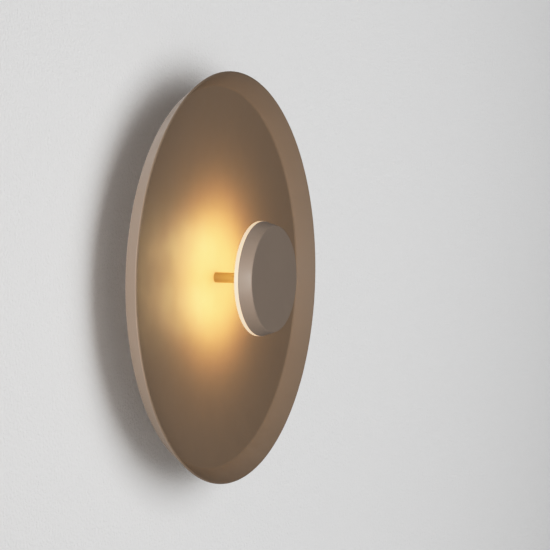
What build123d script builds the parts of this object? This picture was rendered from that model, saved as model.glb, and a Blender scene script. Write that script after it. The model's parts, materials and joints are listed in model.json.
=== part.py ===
from build123d import *
import math
import os

# Disc wall light. Millimetres. The light is drawn lying on its back: Z is the distance from the
# wall, Y is up the wall and X is to the viewer's right. The last step stands it upright, so that
# the finished parts have +Z up and reach out from the wall along -Y. The origin is the centre of
# the wall plate's back, on the wall.

# Driving dimensions: the dish
DISH_DIAMETER = 400.0
RIM_FROM_WALL = 45.0
BOWL_DEPTH = 16.8
FLARE_ANGLE = 36.5
DISH_SHEET = 2.0
DISH_INNER_BEND = 3.0
LIP_ROUNDING = 0.5

# Driving dimensions: the light head
HEAD_RADIUS = 55.5
HEAD_FROM_RIM = 29.1
DIFFUSER_EDGE = 4.2
CAP_HEIGHT = 12.8
CAP_FRONT_RADIUS = 51.3
CAP_FRONT_ROUNDING = 1.2
CAP_FLOOR = 4.0

# Driving dimensions: stem, canopy and wall plate
STEM_DIAMETER = 10.0
STEM_BORE = 5.5
CANOPY_DIAMETER = 140.0
CANOPY_SHEET = 1.5
PLATE_DIAMETER = 124.0
PLATE_SHEET = 1.5
CHASSIS_SHEET = 2.0

# Screws: radii of the thread, of the head and of a clearance hole, and the head's height
M2_5 = {"thread": 1.25, "head": 2.25, "clear": 1.45, "height": 1.5}
M3 = {"thread": 1.5, "head": 2.8, "clear": 1.7, "height": 1.8}
M4 = {"thread": 2.0, "head": 3.8, "clear": 2.25, "height": 2.4}
M8_THREAD = 4.0
M8_CLEAR = 4.2
THREAD_PLAY = 0.05
TIP_GAP = 0.2
WASHER_SHEET = 0.8
WASHER_NOTCH = 0.7
WASHER_TEETH = 8

# How far a cut runs past the face that it goes through, and an added part into what carries it
OVERRUN = 1.0
JOIN = 0.5

# Places along Z: each is a distance from the wall
dish_front = RIM_FROM_WALL - BOWL_DEPTH
dish_back = dish_front - DISH_SHEET
canopy_back = dish_back - CANOPY_SHEET
screw_tip = canopy_back - TIP_GAP
chassis_back = canopy_back - CHASSIS_SHEET
diffuser_back = RIM_FROM_WALL + HEAD_FROM_RIM
cap_back = diffuser_back + DIFFUSER_EDGE
cap_front = cap_back + CAP_HEIGHT
cap_seat = cap_front - CAP_FLOOR

# Angles are anticlockwise from +X, seen from the room
TAB_ANGLES = (30, 150, 270)
THREE_WAYS = (90, 210, 330)
STUD_CIRCLE = 52.0


def around(radius, angles):
    """Places on a circle round the light's axis, each turned so that its X points outwards."""
    return [Rot(0, 0, angle) * Pos(radius, 0, 0) for angle in angles]


def disc(radius, low, high, x=0.0, y=0.0):
    """A round slug between two distances from the wall."""
    return Pos(x, y, low) * Cylinder(radius, high - low, align=(Align.CENTER, Align.CENTER, Align.MIN))


def tube(outer, inner, low, high, x=0.0, y=0.0):
    """A round sleeve between two distances from the wall."""
    return disc(outer, low, high, x, y) - disc(inner, low, high, x, y)


def block(x_range, y_range, low, high):
    """A square-edged block between two corners."""
    size = (x_range[1] - x_range[0], y_range[1] - y_range[0], high - low)
    return Pos(x_range[0], y_range[0], low) * Box(*size, align=Align.MIN)


def along_y(radius, y_range, x, z):
    """A round slug that lies up and down the wall."""
    return Pos(x, y_range[1], z) * Rot(90, 0, 0) * disc(radius, 0, y_range[1] - y_range[0])


def turned(corners, roundings=None):
    """A solid turned about Z from the (radius, z) corners of its half section, each with a rounding."""
    outline = FilletPolyline(*corners, radius=roundings or [0] * len(corners), close=True)
    return revolve(Plane.XZ * make_face(outline), Axis.Z)


def pan_screw(size, seat, tip, x=0.0, y=0.0):
    """A pan-head screw driven away from the wall: its head stands on the wall side of the seat."""
    shank = disc(size["thread"] - THREAD_PLAY, seat, tip, x, y)
    return shank + disc(size["head"], seat - size["height"], seat, x, y)


def hex_prism(across_flats, low, high, x=0.0, y=0.0):
    """A hexagonal bar between two distances from the wall."""
    return Pos(x, y, low) * extrude(RegularPolygon(across_flats / 2, 6, major_radius=False), high - low)


def toothed_washer(outer, inner, low, teeth):
    """A lock washer: a thin ring notched all round its bore."""
    high = low + WASHER_SHEET
    ring = tube(outer, inner, low, high)
    half = WASHER_NOTCH / 2
    notch = block((inner - JOIN, (inner + outer) / 2), (-half, half), low, high)
    for step in range(teeth):
        ring -= Rot(0, 0, step * 360 / teeth) * notch
    return ring


def lead(name, points, bends, diameter):
    """A round insulated lead: straight runs joined by tangent arcs of the given radii."""
    route = FilletPolyline(*points, radius=bends)
    section = Plane(origin=route @ 0, z_dir=route % 0) * Circle(diameter / 2)
    body = sweep(section, path=route)
    ideal = math.pi * diameter**2 / 4 * route.length
    print(f"{name}: {route.length:.1f} mm, volume {body.volume / ideal:.4f} of section x length")
    return body


# Wall plate: a pressed steel disc with a raised centre and three tabs bent forward
PLATEAU_RADIUS = 22.0
PLATEAU_FOOT = 24.5
PLATEAU_RISE = 2.5
CABLE_HOLE = 9.0
TAB_FACE = 65.5
TAB_WIDTH = 14.0
TAB_END = 14.0
TAB_BEND = 2.0
TAB_CORNER = 2.0
SLOT_CENTRE = 37.5
SLOT_LENGTH = 20.0
SLOT_WIDTH = 4.5
EARTH_CIRCLE = 17.0
EARTH_ANGLE = 60
EARTH_TIP = 0.4
plateau_front = PLATEAU_RISE + PLATE_SHEET
wall_earth_place = around(EARTH_CIRCLE, [EARTH_ANGLE])[0]


def wall_plate():
    edge = PLATE_DIAMETER / 2
    section = [
        (CABLE_HOLE, PLATEAU_RISE),
        (PLATEAU_RADIUS - PLATE_SHEET / 2, PLATEAU_RISE),
        (PLATEAU_FOOT - PLATE_SHEET / 2, 0),
        (edge, 0),
        (edge, PLATE_SHEET),
        (PLATEAU_FOOT, PLATE_SHEET),
        (PLATEAU_RADIUS, plateau_front),
        (CABLE_HOLE, plateau_front),
    ]
    plate = turned(section)
    for place in around(0, TAB_ANGLES):
        plate += place * wall_plate_tab()
    for place in around(SLOT_CENTRE, range(0, 360, 90)):
        plate -= place * extrude(SlotOverall(SLOT_LENGTH, SLOT_WIDTH), PLATE_SHEET)
    return plate - wall_earth_place * disc(M4["thread"], PLATEAU_RISE, plateau_front)


def wall_plate_tab():
    """A strip that runs on from the plate's edge and bends forward through a right angle."""
    root = PLATE_DIAMETER / 2 - SLOT_WIDTH
    inner = TAB_FACE - PLATE_SHEET
    corners = [
        (root, 0),
        (TAB_FACE, 0),
        (TAB_FACE, TAB_END),
        (inner, TAB_END),
        (inner, PLATE_SHEET),
        (root, PLATE_SHEET),
    ]
    outline = FilletPolyline(*corners, radius=[0, TAB_BEND, 0, 0, TAB_BEND - PLATE_SHEET, 0], close=True)
    strip = extrude(Plane.XZ * make_face(outline), TAB_WIDTH / 2, both=True)
    corner_edges = strip.edges().filter_by(Axis.X).group_by(Axis.Z)[-1]
    return fillet(corner_edges, TAB_CORNER)


def wall_earth_screw():
    """It is driven towards the wall and its tip stays in front of the plaster."""
    seat = plateau_front + WASHER_SHEET
    driven = Pos(0, 0, seat) * Rot(180, 0, 0) * pan_screw(M4, 0, seat - EARTH_TIP)
    return wall_earth_place * driven


def wall_earth_washer():
    return wall_earth_place * toothed_washer(M4["head"], M4["clear"], plateau_front, WASHER_TEETH)


# Grommet: a rubber ring that grips the edge of the cable hole, wholly in front of the wall
GROMMET_LIP = 12.0
GROMMET_BORE = 6.5
GROMMET_LIP_HEIGHT = 1.5
GROMMET_LIP_TAPER = 1.0


def cable_grommet():
    low = PLATEAU_RISE - GROMMET_LIP_HEIGHT
    high = plateau_front + GROMMET_LIP_HEIGHT
    return turned([
        (GROMMET_BORE, low),
        (GROMMET_LIP - GROMMET_LIP_TAPER, low),
        (GROMMET_LIP, PLATEAU_RISE),
        (CABLE_HOLE, PLATEAU_RISE),
        (CABLE_HOLE, plateau_front),
        (GROMMET_LIP, plateau_front),
        (GROMMET_LIP - GROMMET_LIP_TAPER, high),
        (GROMMET_BORE, high),
    ])


# Canopy: a spun cup whose open back closes on the wall, with three grub screws in its side
CANOPY_WALL_GAP = 0.5
CANOPY_BEND = 4.0
GRUB_FROM_WALL = 8.0
GRUB_TIP_GAP = 0.1
GRUB_SUNK = 0.2
GRUB_SOCKET = 2.0
BOSS_RADIUS = 4.0
BOSS_HEIGHT = 2.2
canopy_outer = CANOPY_DIAMETER / 2
canopy_inner = canopy_outer - CANOPY_SHEET
boss_seat = math.sqrt(canopy_inner**2 - BOSS_RADIUS**2)
grub_places = [Rot(0, 0, angle) * Pos(0, 0, GRUB_FROM_WALL) * Rot(0, 90, 0) for angle in TAB_ANGLES]


def canopy():
    section = [
        (M8_CLEAR, canopy_back),
        (canopy_inner, canopy_back),
        (canopy_inner, CANOPY_WALL_GAP),
        (canopy_outer, CANOPY_WALL_GAP),
        (canopy_outer, dish_back),
        (M8_CLEAR, dish_back),
    ]
    cup = turned(section, [0, CANOPY_BEND - CANOPY_SHEET, 0, 0, CANOPY_BEND, 0])
    for place in around(STUD_CIRCLE, THREE_WAYS):
        cup -= place * disc(M4["clear"], canopy_back, dish_back)
    for place in grub_places:
        cup -= place * disc(M4["clear"], TAB_FACE, canopy_outer + OVERRUN)
    return cup


def grub_screw_bosses():
    """Threaded bosses, each brazed to the inside of the canopy behind a hole."""
    boss = tube(BOSS_RADIUS, M4["thread"], boss_seat - BOSS_HEIGHT, boss_seat)
    return [place * boss for place in grub_places]


def canopy_grub_screws():
    """Flat-point socket screws, slackened so that their tips just clear the tabs."""
    outer_end = canopy_outer - GRUB_SUNK
    screw = disc(M4["thread"] - THREAD_PLAY, TAB_FACE + GRUB_TIP_GAP, outer_end)
    screw -= hex_prism(GRUB_SOCKET, outer_end - GRUB_SOCKET, outer_end)
    return [place * screw for place in grub_places]


# Dish: one spun sheet with a flat floor and a flared rim, cut square to the sheet at its lip
STUD_LENGTH = 12.0
STUD_NUT_HEIGHT = 3.2
STUD_NUT_FLATS = 7.0


def dish():
    flare = math.radians(FLARE_ANGLE)
    lip_inner = DISH_DIAMETER / 2 - DISH_SHEET * math.cos(flare)
    lip_outer_z = RIM_FROM_WALL - DISH_SHEET * math.sin(flare)
    floor_radius = lip_inner - BOWL_DEPTH * math.tan(flare)
    back_radius = DISH_DIAMETER / 2 - (lip_outer_z - dish_back) * math.tan(flare)
    section = [
        (M8_CLEAR, dish_back),
        (back_radius, dish_back),
        (DISH_DIAMETER / 2, lip_outer_z),
        (lip_inner, RIM_FROM_WALL),
        (floor_radius, dish_front),
        (M8_CLEAR, dish_front),
    ]
    back_bend = DISH_INNER_BEND + DISH_SHEET
    return turned(section, [0, back_bend, LIP_ROUNDING, LIP_ROUNDING, DISH_INNER_BEND, 0])


def dish_studs():
    stud = disc(M4["thread"] - THREAD_PLAY, dish_back - STUD_LENGTH, dish_back)
    return [place * stud for place in around(STUD_CIRCLE, THREE_WAYS)]


def dish_stud_nuts():
    """Hexagon nuts, pulled up against the chassis plate."""
    low = chassis_back - STUD_NUT_HEIGHT
    nut = hex_prism(STUD_NUT_FLATS, low, chassis_back) - disc(M4["thread"], low, chassis_back)
    return [place * nut for place in around(STUD_CIRCLE, THREE_WAYS)]


# Chassis plate: it stiffens the joint behind the canopy and carries the driver and terminals
CHASSIS_RADIUS = 58.0
CHASSIS_HALF_WIDTH = 50.0
CHASSIS_CORNER = 3.0
DRIVER_X = 35.0
DRIVER_Y = (-52.0, -22.0)
DRIVER_EAR = 3.5
EAR_WIDTH = 9.0
TERMINAL_X = (-26.0, 6.0)
TERMINAL_Y = (24.0, 42.0)
TERMINAL_HEIGHT = 14.0
TERMINAL_WAYS = (-20.0, -10.0, 0.0)
EARTH_POINT = (24.0, 8.0)
driver_screw_xs = (-DRIVER_X - DRIVER_EAR, DRIVER_X + DRIVER_EAR)
driver_middle_y = sum(DRIVER_Y) / 2
terminal_middle_y = sum(TERMINAL_Y) / 2
terminal_screw_xs = (-15.0, -5.0)


def chassis_plate():
    outline = Circle(CHASSIS_RADIUS) & Rectangle(2 * CHASSIS_HALF_WIDTH, 2 * CHASSIS_RADIUS)
    outline = fillet(outline.vertices(), CHASSIS_CORNER)
    plate = Pos(0, 0, chassis_back) * extrude(outline, CHASSIS_SHEET)
    plate -= disc(M8_CLEAR, chassis_back, canopy_back)
    for place in around(STUD_CIRCLE, THREE_WAYS):
        plate -= place * disc(M4["clear"], chassis_back, canopy_back)
    for x in driver_screw_xs:
        plate -= disc(M3["thread"], chassis_back, canopy_back, x, driver_middle_y)
    for x in terminal_screw_xs:
        plate -= disc(M3["thread"], chassis_back, canopy_back, x, terminal_middle_y)
    return plate - disc(M4["thread"], chassis_back, canopy_back, *EARTH_POINT)


# Stem: turned with a threaded spigot at each shouldered end, bored for the leads
STEM_REAR_LENGTH = 12.0
STEM_FRONT_LENGTH = 6.4
HUB_HEIGHT = 4.0
SPREADER_SHEET = 2.5
SPIGOT_RADIUS = M8_THREAD - THREAD_PLAY
RELIEF_RADIUS = 3.6
RELIEF_LENGTH = 1.0
END_BEVEL = 0.6
CROSS_HOLE = 1.7
CROSS_HOLE_BEHIND_HUB = 2.0
STEM_NUT_HEIGHT = 4.0
STEM_NUT_FLATS = 13.0
STEM_WASHER_RADIUS = 7.0
STEM_WASHER_TEETH = 12
BUSH_LENGTH = 8.0
BUSH_BORE = 3.9
BUSH_COLLAR = 7.4
BUSH_COLLAR_SHEET = 0.8
spreader_back = cap_seat - SPREADER_SHEET
hub_back = spreader_back - HUB_HEIGHT
stem_rear = dish_front - STEM_REAR_LENGTH
cross_hole_z = hub_back - CROSS_HOLE_BEHIND_HUB
stem_nut_front = chassis_back - WASHER_SHEET


def stem():
    radius = STEM_DIAMETER / 2
    front = hub_back + STEM_FRONT_LENGTH
    section = [
        (0, stem_rear),
        (SPIGOT_RADIUS - END_BEVEL, stem_rear),
        (SPIGOT_RADIUS, stem_rear + END_BEVEL),
        (SPIGOT_RADIUS, dish_front - RELIEF_LENGTH),
        (RELIEF_RADIUS, dish_front - RELIEF_LENGTH),
        (RELIEF_RADIUS, dish_front),
        (radius, dish_front),
        (radius, hub_back),
        (RELIEF_RADIUS, hub_back),
        (RELIEF_RADIUS, hub_back + RELIEF_LENGTH),
        (SPIGOT_RADIUS, hub_back + RELIEF_LENGTH),
        (SPIGOT_RADIUS, front - END_BEVEL),
        (SPIGOT_RADIUS - END_BEVEL, front),
        (0, front),
    ]
    body = turned(section)
    body -= disc(STEM_BORE / 2, stem_rear, hub_back)
    return body - along_y(CROSS_HOLE, (0, STEM_DIAMETER), 0, cross_hole_z)


def stem_nut():
    nut = hex_prism(STEM_NUT_FLATS, stem_nut_front - STEM_NUT_HEIGHT, stem_nut_front)
    return nut - disc(M8_THREAD, stem_nut_front - STEM_NUT_HEIGHT, stem_nut_front)


def stem_lock_washer():
    return toothed_washer(STEM_WASHER_RADIUS, M8_CLEAR, stem_nut_front, STEM_WASHER_TEETH)


def stem_bush():
    """A plastic liner that keeps the leads off the bore's sharp rear edge."""
    collar_back = stem_rear - BUSH_COLLAR_SHEET
    bush_end = stem_rear + BUSH_LENGTH
    sleeve = disc(STEM_BORE / 2 - THREAD_PLAY, stem_rear, bush_end)
    collar = disc(BUSH_COLLAR / 2, collar_back, stem_rear)
    return sleeve + collar - disc(BUSH_BORE / 2, collar_back, bush_end)


# Driver: a flat converter in a two-part plastic case, screwed to the chassis by its ears
DRIVER_FLOOR = 1.5
DRIVER_WALL = 1.2
DRIVER_HEIGHT = 16.0
DRIVER_LIP = 1.5
DRIVER_CORNER = 2.0
DRIVER_BOARD = 1.2
CASE_PLAY = 0.1
BOARD_PLAY = 0.3
LEAD_PLAY = 0.05
MAINS_HOLE_PLAY = 0.3
LEAST_CORNER = 0.3
LEAD_Z = 17.3
MAINS_LEAD = 2.2
LED_LEAD = 1.3
MAINS_BOW = 3.0
MAINS_BOW_RADIUS = 60.0
PAIR_SPACING = 1.6
PAIR_Z = 10.5
driver_joint = chassis_back - DRIVER_FLOOR
driver_top = chassis_back - DRIVER_HEIGHT
driver_board_front = driver_joint - DRIVER_LIP
driver_board_back = driver_board_front - DRIVER_BOARD

# What stands on the driver's board. The transformer's sizes are half width, half depth and height,
# and each capacitor is its radius, its height and its place from the middle of the board.
TRANSFORMER_X = -2.0
CORE = (9.0, 7.0, 9.5)
COIL_FORMER = (6.0, 9.0, 8.0)
CAPACITORS = (
    {"radius": 5.0, "height": 10.0, "x": 16.0, "y": -3.0},
    {"radius": 4.0, "height": 8.5, "x": -24.0, "y": -4.0},
)


def driver_slab(inset, low, high):
    """The driver's rounded outline, drawn in by an inset."""
    width = 2 * (DRIVER_X - inset)
    depth = DRIVER_Y[1] - DRIVER_Y[0] - 2 * inset
    outline = RectangleRounded(width, depth, max(DRIVER_CORNER - inset, LEAST_CORNER))
    return Pos(0, driver_middle_y, low) * extrude(outline, high - low)


def driver_base():
    """The case's floor, with a lip inside the cover and an ear at each end."""
    fit = DRIVER_WALL + CASE_PLAY
    ears = SlotOverall(2 * (DRIVER_X + 2 * DRIVER_EAR), EAR_WIDTH)
    base = Pos(0, driver_middle_y, driver_joint) * extrude(ears, DRIVER_FLOOR)
    base += driver_slab(0, driver_joint, chassis_back)
    outer = (DRIVER_X - fit, DRIVER_Y[0] + fit, DRIVER_Y[1] - fit)
    wall = fit + DRIVER_LIP
    inner = (DRIVER_X - wall, DRIVER_Y[0] + wall, DRIVER_Y[1] - wall)
    base += block((-outer[0], outer[0]), outer[1:], driver_board_front, driver_joint)
    base -= block((-inner[0], inner[0]), inner[1:], driver_board_front, driver_joint)
    for x in driver_screw_xs:
        base -= disc(M3["clear"], driver_joint, chassis_back, x, driver_middle_y)
    return base


def driver_cover():
    shell = driver_slab(0, driver_top, driver_joint)
    shell -= driver_slab(DRIVER_WALL, driver_top + DRIVER_WALL, driver_joint)
    wall = (DRIVER_Y[1] - 2 * DRIVER_WALL, DRIVER_Y[1] + DRIVER_WALL)
    for x in TERMINAL_WAYS[:2]:
        shell -= along_y(MAINS_LEAD / 2 + MAINS_HOLE_PLAY, wall, x, LEAD_Z)
    for side in (-1, 1):
        shell -= along_y(LED_LEAD / 2 + LEAD_PLAY, wall, side * PAIR_SPACING / 2, PAIR_Z)
    return shell


def driver_board():
    return driver_slab(DRIVER_WALL + BOARD_PLAY, driver_board_back, driver_board_front)


def driver_transformer():
    """A wound ferrite block: a core with a wider coil former through its middle."""
    parts = []
    for half_width, half_depth, height in (CORE, COIL_FORMER):
        x_range = (TRANSFORMER_X - half_width, TRANSFORMER_X + half_width)
        y_range = (driver_middle_y - half_depth, driver_middle_y + half_depth)
        parts.append(block(x_range, y_range, driver_board_back - height, driver_board_back))
    return parts[0] + parts[1]


def driver_capacitors():
    """Upright cans on the driver's board."""
    cans = []
    for can in CAPACITORS:
        top = driver_board_back - can["height"]
        cans.append(disc(can["radius"], top, driver_board_back, can["x"], driver_middle_y + can["y"]))
    return cans


def driver_screws():
    return [pan_screw(M3, driver_joint, screw_tip, x, driver_middle_y) for x in driver_screw_xs]


# Terminal block: three ways, each a brass tube with two screws, moulded in one body
TUBE_HALF_WIDTH = 2.5
TUBE_BORE = 1.6
TUBE_INSET = 1.5
TERMINAL_SCREW_RISE = 2.4
WELL_RADIUS = 2.2
BLOCK_SCREW_SEAT = 14.0
BLOCK_SCREW_PLAY = 0.2
BLOCK_CORNER = 1.5
CLAMP_SPACING = 8.0
WAIST_WIDTH = 1.4
WAIST_DEPTH = 2.0
terminal_top = chassis_back - TERMINAL_HEIGHT
clamp_ys = (terminal_middle_y - CLAMP_SPACING / 2, terminal_middle_y + CLAMP_SPACING / 2)
tube_ys = (TERMINAL_Y[0] + TUBE_INSET, TERMINAL_Y[1] - TUBE_INSET)


def terminal_block():
    body = block(TERMINAL_X, TERMINAL_Y, terminal_top, chassis_back)
    body = fillet(body.edges().filter_by(Axis.Z), BLOCK_CORNER)
    for x in terminal_screw_xs:
        waist = (x - WAIST_WIDTH / 2, x + WAIST_WIDTH / 2)
        for end in TERMINAL_Y:
            body -= block(waist, (end - WAIST_DEPTH, end + WAIST_DEPTH), terminal_top, chassis_back)
    for x in TERMINAL_WAYS:
        body -= terminal_way(x, TERMINAL_Y, 0)
        for y in clamp_ys:
            body -= disc(WELL_RADIUS, terminal_top, LEAD_Z, x, y)
    for x in terminal_screw_xs:
        body -= disc(M3["clear"], terminal_top, chassis_back, x, terminal_middle_y)
        body -= disc(M3["head"] + BLOCK_SCREW_PLAY, terminal_top, BLOCK_SCREW_SEAT, x, terminal_middle_y)
    return body


def terminal_way(x, y_range, play):
    """The square bar that one way's brass tube is cut from, with play to its moulded channel."""
    half = TUBE_HALF_WIDTH - play
    return block((x - half, x + half), y_range, LEAD_Z - half, LEAD_Z + half)


def terminal_tubes():
    tubes = []
    for x in TERMINAL_WAYS:
        brass = terminal_way(x, tube_ys, THREAD_PLAY) - along_y(TUBE_BORE, tube_ys, x, LEAD_Z)
        for y in clamp_ys:
            brass -= disc(M3["thread"], terminal_top, LEAD_Z, x, y)
        tubes.append(brass)
    return tubes


def terminal_screws():
    """Headless screws, run down until they nip a lead."""
    ends = (LEAD_Z - TUBE_HALF_WIDTH - TERMINAL_SCREW_RISE, LEAD_Z - MAINS_LEAD / 2)
    return [disc(M3["thread"] - THREAD_PLAY, *ends, x, y) for x in TERMINAL_WAYS for y in clamp_ys]


def terminal_block_screws():
    return [pan_screw(M3, BLOCK_SCREW_SEAT, screw_tip, x, terminal_middle_y) for x in terminal_screw_xs]


# Earth point of the chassis: a ring lug under a toothed washer and a screw
LUG_SHEET = 0.8
LUG_BARREL = (4.0, 10.0)
LUG_BARREL_RADIUS = 1.7
LUG_BARREL_END = 0.8
LUG_NECK = 1.2
LUG_OVERLAP = 0.6
LUG_ANGLE = 143.13
lug_place = Pos(*EARTH_POINT, 0) * Rot(0, 0, LUG_ANGLE)
lug_back = chassis_back - LUG_SHEET
barrel_z = chassis_back - LUG_BARREL_RADIUS


def earth_lug():
    ring = tube(M4["head"], M4["clear"], lug_back, chassis_back)
    neck = block((M4["head"] - LUG_OVERLAP, LUG_BARREL[0]), (-LUG_NECK, LUG_NECK), lug_back, chassis_back)
    barrel = disc(LUG_BARREL_RADIUS, LUG_BARREL[0], LUG_BARREL[1])
    barrel -= disc(MAINS_LEAD / 2 + LEAD_PLAY, LUG_BARREL[0] + LUG_BARREL_END, LUG_BARREL[1])
    lying = Pos(0, 0, barrel_z) * Rot(0, 90, 0) * barrel
    return lug_place * (ring + neck + lying)


def earth_star_washer():
    low = lug_back - WASHER_SHEET
    return Pos(*EARTH_POINT, 0) * toothed_washer(M4["head"], M4["clear"], low, WASHER_TEETH)


def chassis_earth_screw():
    return pan_screw(M4, lug_back - WASHER_SHEET, screw_tip, *EARTH_POINT)


# Leads: their ends lie inside the terminals, the driver, the lug and the board's connector
LEAD_IN_DRIVER = 1.5
LEAD_PAST_CLAMP = 1.0
EARTH_LEAD_TURN_Y = 20.0
EARTH_LEAD_RUN = 7.0
EARTH_LEAD_BENDS = (4, 6)
LEAD_FROM_BARREL_END = 0.7
driver_lead_end = DRIVER_Y[1] - DRIVER_WALL - LEAD_IN_DRIVER
tube_lead_end = clamp_ys[0] - LEAD_PAST_CLAMP


def mains_lead(name, x):
    """A lead from a terminal to the driver, a little longer than the gap, so that it bows."""
    points = [
        (x, tube_lead_end, LEAD_Z),
        (x - MAINS_BOW, (tube_lead_end + driver_lead_end) / 2, LEAD_Z),
        (x, driver_lead_end, LEAD_Z),
    ]
    return lead(name, points, [MAINS_BOW_RADIUS], MAINS_LEAD)


def live_lead():
    return mains_lead("live lead", TERMINAL_WAYS[0])


def neutral_lead():
    return mains_lead("neutral lead", TERMINAL_WAYS[1])


def earth_lead():
    earth_way = TERMINAL_WAYS[2]
    before_barrel = lug_place * Pos(LUG_BARREL[1] + EARTH_LEAD_RUN, 0, barrel_z)
    in_barrel = lug_place * Pos(LUG_BARREL[0] + LUG_BARREL_END + LEAD_FROM_BARREL_END, 0, barrel_z)
    points = [
        (earth_way, tube_lead_end, LEAD_Z),
        (earth_way, EARTH_LEAD_TURN_Y, LEAD_Z),
        before_barrel.position,
        in_barrel.position,
    ]
    return lead("earth lead", points, EARTH_LEAD_BENDS, MAINS_LEAD)


# The pair to the light head runs behind the stem, up its bore and out of the cross hole
PAIR_LOW = -0.9
CONNECTOR_Y = (14.0, 23.0)
CONNECTOR_GRIP = 4.0
LEAD_IN_GRIP = 3.5
PAIR_BENDS = (4.5, 3)


def led_leads():
    pair = []
    for side in (-1, 1):
        x = side * PAIR_SPACING / 2
        points = [
            (x, driver_lead_end, PAIR_Z),
            (x, PAIR_LOW, PAIR_Z),
            (x, PAIR_LOW, cross_hole_z),
            (x, CONNECTOR_Y[0] + LEAD_IN_GRIP, cross_hole_z),
        ]
        pair.append(lead("lead to the head", points, PAIR_BENDS, LED_LEAD))
    return pair


# Light head, metal: the turned cap and the spreader that is screwed into it
SPIGOT_BORE = 52.4
SPIGOT_BORE_DEPTH = 4.0
CAP_CAVITY = 50.1
SPREADER_RADIUS = 49.6
HUB_RADIUS = 8.0
CAP_SCREW_CIRCLE = 46.0
CAP_SCREW_DEPTH = 3.0
HOLE_BOTTOM_GAP = 0.1
BOARD_SCREW_CIRCLE = 22.0
BOARD_SCREW_ANGLES = (30, 150, 270)


def head_cap():
    section = [
        (0, cap_seat),
        (CAP_CAVITY, cap_seat),
        (CAP_CAVITY, cap_back + SPIGOT_BORE_DEPTH),
        (SPIGOT_BORE, cap_back + SPIGOT_BORE_DEPTH),
        (SPIGOT_BORE, cap_back),
        (HEAD_RADIUS, cap_back),
        (CAP_FRONT_RADIUS, cap_front),
        (0, cap_front),
    ]
    cap = turned(section, [0, 0, 0, 0, 0, 0, CAP_FRONT_ROUNDING, 0])
    for place in around(CAP_SCREW_CIRCLE, THREE_WAYS):
        cap -= place * disc(M3["thread"], cap_seat, cap_seat + CAP_SCREW_DEPTH)
    return cap


def heat_spreader():
    plate = disc(SPREADER_RADIUS, spreader_back, cap_seat) + disc(HUB_RADIUS, hub_back, spreader_back)
    plate -= disc(M8_THREAD, hub_back, cap_seat)
    for place in around(CAP_SCREW_CIRCLE, THREE_WAYS):
        plate -= place * disc(M3["clear"], spreader_back, cap_seat)
    for place in around(BOARD_SCREW_CIRCLE, BOARD_SCREW_ANGLES):
        plate -= place * disc(M2_5["thread"], spreader_back, cap_seat)
    return plate


def spreader_screws():
    screw = pan_screw(M3, spreader_back, cap_seat + CAP_SCREW_DEPTH - HOLE_BOTTOM_GAP)
    return [place * screw for place in around(CAP_SCREW_CIRCLE, THREE_WAYS)]


# Light head, electrical: thermal pad, ring board, its chips and its connector
BOARD_BORE = 8.5
BOARD_RADIUS = 42.5
PAD_SHEET = 0.5
PAD_INSET = 0.2
BOARD_SHEET = 1.6
CHIP_COUNT = 24
CHIP_CIRCLE = 36.5
CHIP_WIDTH = 2.8
CHIP_LENGTH = 3.5
CHIP_HEIGHT = 0.7
CONNECTOR_HEIGHT = 5.2
CONNECTOR_HALF_WIDTH = 4.0
CONNECTOR_CORNER = 0.4
pad_back = spreader_back - PAD_SHEET
board_back = pad_back - BOARD_SHEET


def drilled_ring(inset, low, high):
    """A ring round the hub with holes for the board's screws."""
    ring = tube(BOARD_RADIUS - inset, BOARD_BORE + inset, low, high)
    for place in around(BOARD_SCREW_CIRCLE, BOARD_SCREW_ANGLES):
        ring -= place * disc(M2_5["clear"], low, high)
    return ring


def thermal_pad():
    return drilled_ring(PAD_INSET, pad_back, spreader_back)


def led_board():
    return drilled_ring(0, board_back, pad_back)


def board_screws():
    screw = pan_screw(M2_5, board_back, cap_seat - HOLE_BOTTOM_GAP)
    return [place * screw for place in around(BOARD_SCREW_CIRCLE, BOARD_SCREW_ANGLES)]


def led_chips():
    half = (CHIP_WIDTH / 2, CHIP_LENGTH / 2)
    chip = block((-half[0], half[0]), (-half[1], half[1]), board_back - CHIP_HEIGHT, board_back)
    step = 360 / CHIP_COUNT
    return [place * chip for place in around(CHIP_CIRCLE, [step * (i + 0.5) for i in range(CHIP_COUNT)])]


def board_connector():
    half = CONNECTOR_HALF_WIDTH
    body = block((-half, half), CONNECTOR_Y, board_back - CONNECTOR_HEIGHT, board_back)
    body = fillet(body.edges().filter_by(Axis.Z), CONNECTOR_CORNER)
    grip = (CONNECTOR_Y[0], CONNECTOR_Y[0] + CONNECTOR_GRIP)
    for x in (-PAIR_SPACING / 2, PAIR_SPACING / 2):
        body -= along_y(LED_LEAD / 2 + LEAD_PLAY, grip, x, cross_hole_z)
    return body


# Diffuser: an opal moulding with a lit edge, a spigot that plugs into the cap and grip ribs
DIFFUSER_PLATE = 2.5
DIFFUSER_EDGE_ROUNDING = 0.8
STEM_GAP = 0.3
SPIGOT_GAP = 0.3
SPIGOT_WALL = 1.8
SPIGOT_HEIGHT = 3.5
GRIP_RIBS = 6
GRIP_GAP = 0.06
GRIP_WIDTH = 1.2
GRIP_SHORTFALL = 0.6


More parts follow.
